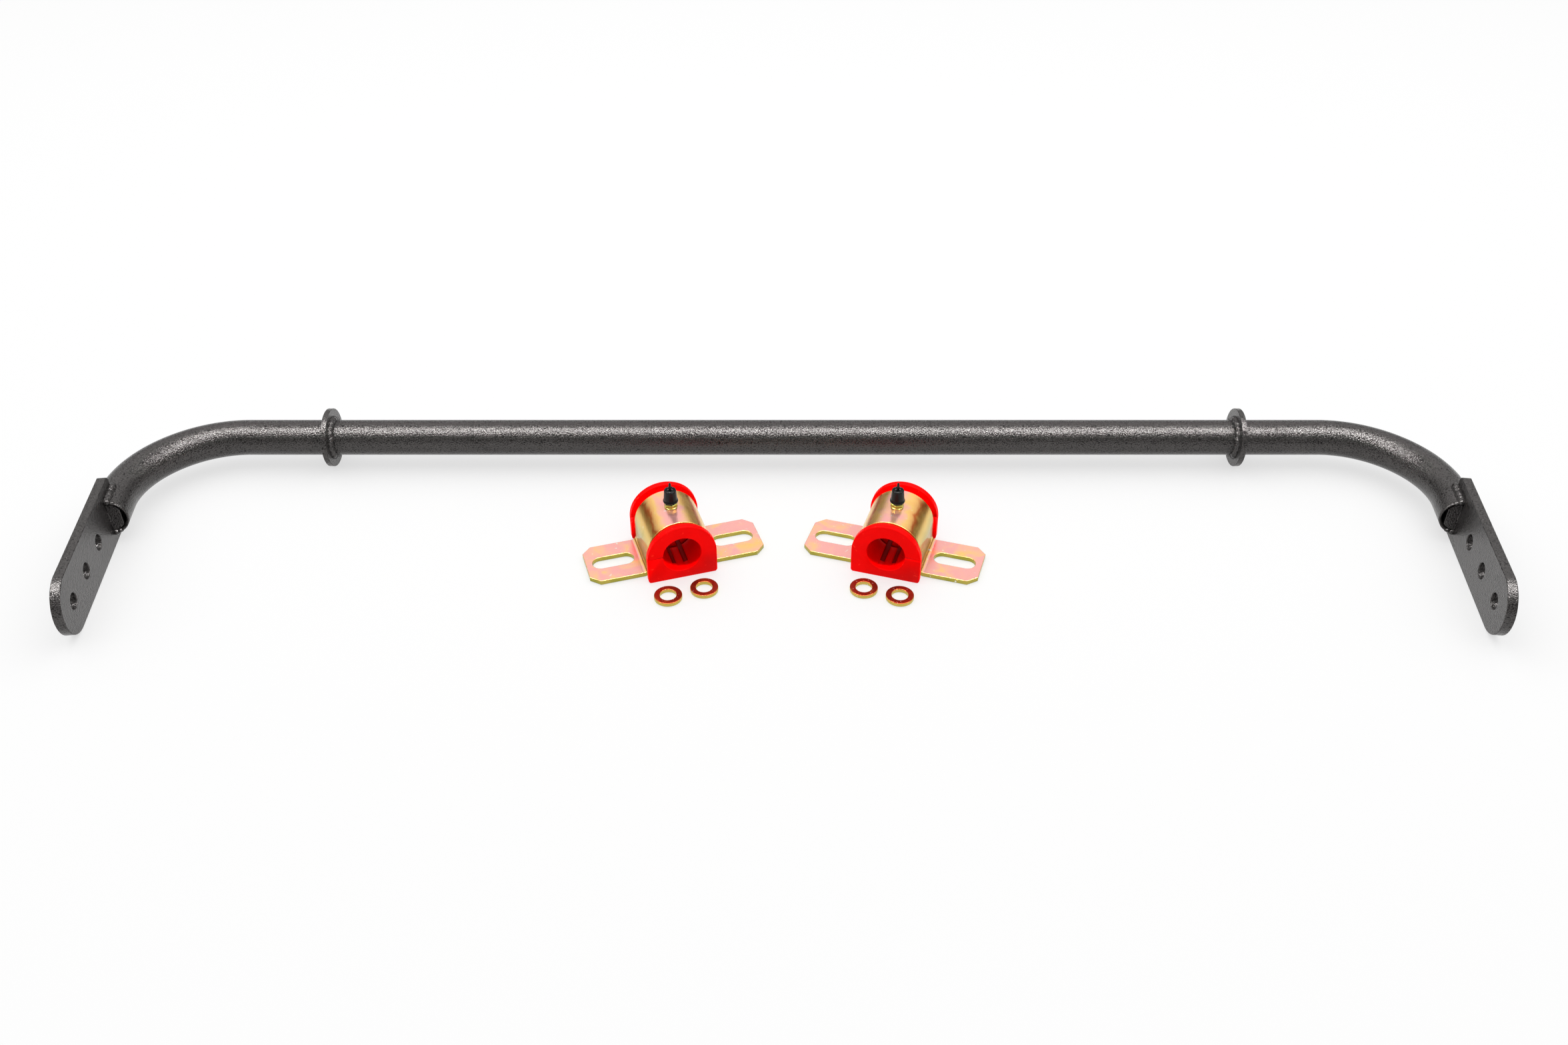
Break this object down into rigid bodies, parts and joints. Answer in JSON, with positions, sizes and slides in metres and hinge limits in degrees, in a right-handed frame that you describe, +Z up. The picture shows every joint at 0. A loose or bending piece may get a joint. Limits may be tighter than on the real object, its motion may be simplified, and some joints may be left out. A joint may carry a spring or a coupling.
{
  "type": "sway bar",
  "caption": "Hollow rear sway bar with bent arms, drilled end plates and welded collars, laid out with greasable split bushings, saddle brackets and washers.",
  "frame": {"origin": "on the surface the kit lies on, below the middle of its box", "axes": "+X along the straight part of the bar, +Y from the washers towards the bar, +Z up"},
  "size_m": [0.9374, 0.228, 0.0577],
  "materials": {
    "powder_coat": "charcoal hammertone powder coat, semi-gloss with a pebbled surface",
    "red_urethane": "cast red polyurethane, smooth and softly glossy",
    "yellow_zinc": "yellow chromate over zinc plate, iridescent pink, gold and green",
    "plated_fitting": "bright yellow-green zinc plate",
    "ball_steel": "polished bearing steel",
    "spring_steel": "drawn spring wire",
    "black_rubber": "soft black rubber, smooth satin",
    "washer_zinc": "stamped steel with yellow zinc plate"
  },
  "bodies": {
    "chassis_side": {"left_bushing": "red_urethane", "right_bushing": "red_urethane"},
    "bar": {"bar_tube": "powder_coat", "left_collar": "powder_coat", "right_collar": "powder_coat", "left_collar_weld": "powder_coat", "right_collar_weld": "powder_coat", "left_end_plate": "powder_coat", "right_end_plate": "powder_coat", "left_end_insert": "powder_coat", "right_end_insert": "powder_coat", "left_plate_weld": "powder_coat", "right_plate_weld": "powder_coat"},
    "left_bracket": {"left_bracket": "yellow_zinc", "left_grease_fitting": "plated_fitting", "left_check_spring": "spring_steel"},
    "left_dust_cap": {"left_dust_cap": "black_rubber"},
    "left_check_ball": {"left_check_ball": "ball_steel"},
    "left_outer_washer": {"left_outer_washer": "washer_zinc"},
    "left_inner_washer": {"left_inner_washer": "washer_zinc"},
    "right_bracket": {"right_bracket": "yellow_zinc", "right_grease_fitting": "plated_fitting", "right_check_spring": "spring_steel"},
    "right_dust_cap": {"right_dust_cap": "black_rubber"},
    "right_check_ball": {"right_check_ball": "ball_steel"},
    "right_outer_washer": {"right_outer_washer": "washer_zinc"},
    "right_inner_washer": {"right_inner_washer": "washer_zinc"}
  },
  "joints": [
    {"name": "bar_turn", "type": "hinge", "parent": "chassis_side", "child": "bar", "pos_m": [0, 0.09302, 0.021], "axis": [-1, 0, 0], "range_deg": [0, 30]},
    {"name": "left_bracket_lift", "type": "slide", "parent": "chassis_side", "child": "left_bracket", "axis": [0, 0, 1], "range_m": [0, 0.06]},
    {"name": "left_cap_pull", "type": "slide", "parent": "left_bracket", "child": "left_dust_cap", "axis": [0, 0, 1], "range_m": [0, 0.02]},
    {"name": "left_ball_press", "type": "slide", "parent": "left_bracket", "child": "left_check_ball", "axis": [0, 0, -1], "range_m": [0, 0.0008], "stiffness_N_per_m": 200, "springref_m": -0.0008, "deforming": ["left_check_spring"]},
    {"name": "left_outer_washer_lift", "type": "slide", "parent": "chassis_side", "child": "left_outer_washer", "axis": [0, 0, 1], "range_m": [0, 0.05]},
    {"name": "left_inner_washer_lift", "type": "slide", "parent": "chassis_side", "child": "left_inner_washer", "axis": [0, 0, 1], "range_m": [0, 0.05]},
    {"name": "right_bracket_lift", "type": "slide", "parent": "chassis_side", "child": "right_bracket", "axis": [0, 0, 1], "range_m": [0, 0.06]},
    {"name": "right_cap_pull", "type": "slide", "parent": "right_bracket", "child": "right_dust_cap", "axis": [0, 0, 1], "range_m": [0, 0.02]},
    {"name": "right_ball_press", "type": "slide", "parent": "right_bracket", "child": "right_check_ball", "axis": [0, 0, -1], "range_m": [0, 0.0008], "stiffness_N_per_m": 200, "springref_m": -0.0008, "deforming": ["right_check_spring"]},
    {"name": "right_outer_washer_lift", "type": "slide", "parent": "chassis_side", "child": "right_outer_washer", "axis": [0, 0, 1], "range_m": [0, 0.05]},
    {"name": "right_inner_washer_lift", "type": "slide", "parent": "chassis_side", "child": "right_inner_washer", "axis": [0, 0, 1], "range_m": [0, 0.05]}
  ]
}
